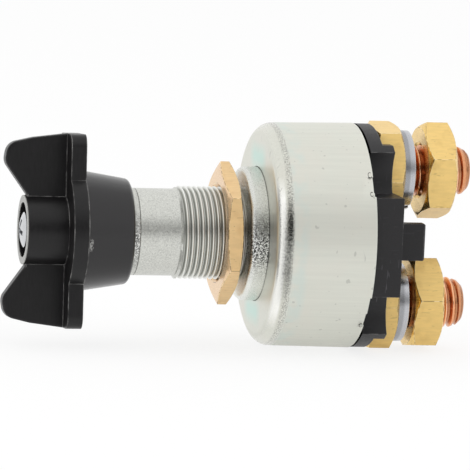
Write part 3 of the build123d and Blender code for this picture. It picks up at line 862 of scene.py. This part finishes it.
class SWITCH_OT_nuts(bpy.types.Operator):
    """The panel nut and the four terminal nuts"""
    bl_idname = "switch.nuts"
    bl_label = "Nuts"

    def execute(self, context):
        finishes = context.scene.switch_finishes
        edge = context.scene.switch_edges.nut_edge
        panel = softened("panel_nut", edge)
        tan = brass_finish("tan_brass", finishes.panel_nut, seen(214, 164, 104), seen(236, 202, 164))
        finish_piece(panel, "housing", tan)
        yellow = brass_finish("nut_brass", finishes.nut, seen(200, 160, 86))
        for node in ("stud_nut_upper", "stud_nut_lower", "terminal_nut_upper", "terminal_nut_lower"):
            finish_piece(softened(node, edge), "housing", yellow)
        return {"FINISHED"}


class SWITCH_OT_washers(bpy.types.Operator):
    """The two split spring washers"""
    bl_idname = "switch.washers"
    bl_label = "Spring washers"

    def execute(self, context):
        low, high = low_high("lock_washer_upper")
        middle = (low.x + high.x) / 2
        colour = context.scene.switch_finishes.washer
        finish = steel_finish("spring_steel", colour, 0.24, 0.32, painted_shade_ends_at=middle)
        for node in ("lock_washer_upper", "lock_washer_lower"):
            piece = softened(node, context.scene.switch_edges.washer_edge, segments=3)
            finish_piece(piece, "housing", finish)
        return {"FINISHED"}


class SWITCH_OT_knob(bpy.types.Operator):
    """The winged knob and its screw"""
    bl_idname = "switch.knob"
    bl_label = "Knob"

    def execute(self, context):
        finishes = context.scene.switch_finishes
        edges = context.scene.switch_edges
        piece = softened("knob", edges.knob_edge, segments=3, angle=30)
        finish_piece(piece, "rotor", knob_finish(finishes.knob))
        screw = softened("knob_screw", edges.screw_edge)
        finish = steel_finish("zinc_plated_steel", finishes.screw, 0.12, 0.25)
        finish_piece(screw, "rotor", finish)
        return {"FINISHED"}


class SWITCH_OT_cup(bpy.types.Operator):
    """The drawn cup"""
    bl_idname = "switch.cup"
    bl_label = "Cup"

    def execute(self, context):
        finish = plated_cup_finish(context.scene.switch_finishes.cup, low_high("cup_housing")[0].x)
        piece = softened("cup_housing", context.scene.switch_edges.cup_edge)
        finish_piece(piece, "housing", finish)
        return {"FINISHED"}


class SWITCH_OT_burrs(bpy.types.Operator):
    """Small curls of metal turned up where the rim is staked"""
    bl_idname = "switch.burrs"
    bl_label = "Rim burrs"

    def execute(self, context):
        rim_inset = 0.85
        sink = 0.08
        rear = low_high("cup_housing")[1]
        curls = []
        for side in (-1, 1):
            for degrees, size in BURRS:
                curls.append(self.curl(rear.x - rim_inset, rear.y - sink, side, math.radians(degrees), size))
        piece = join(curls, "rim_burrs")
        tidy_shell(piece)
        # The curls are painted dark steel, standing in for the shade around them
        finish = plain_finish("torn_steel", seen(104, 104, 101), 1.0, 0.2, 0.45, scale=5.0)
        finish_piece(piece, "housing", finish)
        return {"FINISHED"}

    def curl(self, x, radius, side, angle, size):
        """A ring of thin wire, torn open at one corner, that lies flat on the side of the cup."""
        wire_radius = 0.1
        torn_x = 0.55 * size * MM
        torn_y = -0.2 * size * MM
        oval = (0.75, 1.15, 0.8)
        deselect()
        bpy.ops.mesh.primitive_torus_add(
            major_radius=size * MM,
            minor_radius=wire_radius * MM,
            major_segments=28,
            minor_segments=8,
            location=(0, 0, 0),
        )
        curl = bpy.context.object
        edit(curl)
        choose("faces", lambda centre: centre.x > torn_x and centre.y > torn_y)
        bpy.ops.mesh.delete(type="FACE")
        bpy.ops.mesh.select_all(action="SELECT")
        bpy.ops.mesh.fill_holes(sides=0)
        bpy.ops.mesh.select_all(action="SELECT")
        bpy.ops.transform.resize(value=oval)
        leave()
        curl.rotation_euler = (side * (angle - math.pi / 2), 0, 0)
        curl.location = (x * MM, side * radius * math.cos(angle) * MM, radius * math.sin(angle) * MM)
        place_in_mesh(curl)
        return curl


class SWITCH_OT_base(bpy.types.Operator):
    """The moulded base"""
    bl_idname = "switch.base"
    bl_label = "Base"

    def execute(self, context):
        piece = softened("terminal_base", context.scene.switch_edges.base_edge)
        rear = low_high("cup_housing")[1]
        finish = base_finish(context.scene.switch_finishes.base, rear.x, rear.y)
        finish_piece(piece, "housing", finish)
        return {"FINISHED"}


class SWITCH_OT_inner_parts(bpy.types.Operator):
    """Finishes of the parts inside the switch"""
    bl_idname = "switch.inner_parts"
    bl_label = "Inner parts"

    def execute(self, context):
        turned_steel = plain_finish("spindle_steel", seen(170, 172, 175), 0.95, 0.25, 0.4)
        dress("spindle", turned_steel)
        dress("thrust_washer", turned_steel)
        dress("contact_bridge", bpy.data.objects["stud_upper_shape"].data.materials[0])
        dress("contact_spring", plain_finish("spring_wire", seen(130, 133, 138), 0.95, 0.25, 0.45))
        dress("spindle_oring", plain_finish("seal_rubber", seen(28, 28, 29), 0.0, 0.5, 0.7))
        dress("contact_carrier", plain_finish("carrier_plastic", seen(205, 192, 160), 0.0, 0.4, 0.6))
        return {"FINISHED"}


class SWITCH_OT_stage(bpy.types.Operator):
    """Floor, world, soft lamps and camera"""
    bl_idname = "switch.stage"
    bl_label = "Stage"

    def execute(self, context):
        stage = context.scene.switch_stage
        self.floor(stage)
        self.world(context.scene, stage)
        # Name, place, size and power of each lamp
        lamps = (
            ("top_lamp", (0.0, -0.15, 0.9), 0.9, stage.top_lamp),
            ("left_lamp", (-0.9, -0.45, 0.35), 0.7, stage.side_lamp),
            ("right_lamp", (0.9, -0.35, 0.4), 0.7, stage.side_lamp),
        )
        for name, place, size, power in lamps:
            data = bpy.data.lights.new(name, "AREA")
            data.size = size
            data.energy = power
            lamp = bpy.data.objects.new(name, data)
            lamp.visible_glossy = False
            lamp.location = place
            lamp.rotation_euler = Vector(place).to_track_quat("Z", "Y").to_euler()
            context.scene.collection.objects.link(lamp)
        self.camera(context.scene, stage)
        context.scene.view_settings.view_transform = "Standard"
        return {"FINISHED"}

    def floor(self, stage):
        """A pale floor, which glows to the camera and in reflections but still takes a shadow."""
        deselect()
        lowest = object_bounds()[0][2]
        gap = 0.1 * MM
        width = 8
        bpy.ops.mesh.primitive_plane_add(size=width, location=(0, 0, lowest - gap))
        floor = bpy.context.object
        floor.name = "floor"
        material = bpy.data.materials.new("floor_white")
        nodes = Nodes(material)
        shader = nodes.find("BSDF_PRINCIPLED")
        shader.inputs["Base Color"].default_value = (*stage.floor, 1)
        shader.inputs["Roughness"].default_value = 0.9
        shader.inputs["Specular IOR Level"].default_value = 0.1
        glow = nodes.add("ShaderNodeEmission")
        rays = nodes.add("ShaderNodeLightPath")
        in_view = nodes.maths("MAXIMUM", rays.outputs["Is Camera Ray"], rays.outputs["Is Glossy Ray"])
        share = nodes.maths("MULTIPLY", in_view, stage.floor_glow)
        mix = nodes.add("ShaderNodeMixShader", i0=share, i1=shader.outputs[0], i2=glow.outputs[0])
        nodes.feed(nodes.find("OUTPUT_MATERIAL").inputs["Surface"], mix.outputs[0])
        floor.data.materials.append(material)
        floor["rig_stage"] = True

    def world(self, scene, stage):
        """White to the camera. Reflections see white too, with the dark room behind the camera."""
        scene.world = bpy.data.worlds.new("studio")
        nodes = Nodes(scene.world)
        background = nodes.find("BACKGROUND")
        direction = nodes.add("ShaderNodeTexCoord").outputs["Generated"]
        away = nodes.add("ShaderNodeSeparateXYZ", Vector=direction).outputs["Y"]
        room = nodes.ramp(away, -0.9, 0.1, stage.front_light, 1.0, "SMOOTHSTEP")
        facing = nodes.add("ShaderNodeVectorMath", {"operation": "DOT_PRODUCT"}, i0=direction)
        facing.inputs[1].default_value = self.towards_camera(stage)
        reach, core = math.cos(stage.patch_reach), math.cos(stage.patch_core)
        patch = nodes.ramp(facing.outputs["Value"], reach, core, 1.0, stage.dark_patch, "SMOOTHSTEP")
        rays = nodes.add("ShaderNodeLightPath")
        strength = room
        for ray, seen_by_it in (("Is Glossy Ray", patch), ("Is Camera Ray", 1.0)):
            by_ray = rays.outputs[ray]
            mix = nodes.add("ShaderNodeMix", {"data_type": "FLOAT"}, i0=by_ray, i2=strength, i3=seen_by_it)
            strength = mix.outputs[0]
        nodes.feed(background.inputs["Strength"], strength)
        background.inputs["Color"].default_value = (1, 1, 1, 1)

    def towards_camera(self, stage):
        turn, tilt = stage.azimuth, stage.elevation
        level = math.cos(tilt)
        return Vector((-math.sin(turn) * level, -math.cos(turn) * level, math.sin(tilt)))

    def camera(self, scene, stage):
        roll = stage.roll
        back = self.towards_camera(stage)
        level = Vector((math.cos(stage.azimuth), -math.sin(stage.azimuth), 0))
        upright = back.cross(level)
        right = math.cos(roll) * level + math.sin(roll) * upright
        up = -math.sin(roll) * level + math.cos(roll) * upright
        data = bpy.data.cameras.new("camera")
        data.sensor_width = 36
        data.lens = stage.focal
        data.clip_start = 0.01
        data.clip_end = 50
        camera = bpy.data.objects.new("camera", data)
        matrix = Matrix((right, up, back)).transposed().to_4x4()
        matrix.translation = Vector(stage.aim) + back * stage.distance
        camera.matrix_world = matrix
        scene.collection.objects.link(camera)
        scene.camera = camera


# Panel and registration


class SWITCH_PT_looks(bpy.types.Panel):
    """Builds each group of pieces"""
    bl_idname = "SWITCH_PT_looks"
    bl_label = "Battery switch"
    bl_space_type = "VIEW_3D"
    bl_region_type = "UI"
    bl_category = "Battery switch"

    def draw(self, context):
        for operator in OPERATORS:
            self.layout.operator(operator.bl_idname)
        for name in GROUPS:
            group = getattr(context.scene, name)
            for key in group.bl_rna.properties.keys():
                if key not in ("rna_type", "name"):
                    self.layout.prop(group, key)


OPERATORS = (
    SWITCH_OT_casting,
    SWITCH_OT_studs,
    SWITCH_OT_nuts,
    SWITCH_OT_washers,
    SWITCH_OT_knob,
    SWITCH_OT_cup,
    SWITCH_OT_burrs,
    SWITCH_OT_base,
    SWITCH_OT_inner_parts,
    SWITCH_OT_stage,
)
GROUPS = {
    "switch_threads": SwitchThreads,
    "switch_edges": SwitchEdges,
    "switch_finishes": SwitchFinishes,
    "switch_stage": SwitchStage,
}


def register():
    for kind in (*GROUPS.values(), *OPERATORS, SWITCH_PT_looks):
        bpy.utils.register_class(kind)
    for name, group in GROUPS.items():
        setattr(bpy.types.Scene, name, bpy.props.PointerProperty(type=group))


def unregister():
    for name in GROUPS:
        delattr(bpy.types.Scene, name)
    for kind in reversed((*GROUPS.values(), *OPERATORS, SWITCH_PT_looks)):
        bpy.utils.unregister_class(kind)


def main():
    register()
    for operator in OPERATORS:
        group, name = operator.bl_idname.split(".")
        getattr(getattr(bpy.ops, group), name)()


if __name__ == "__main__":
    main()
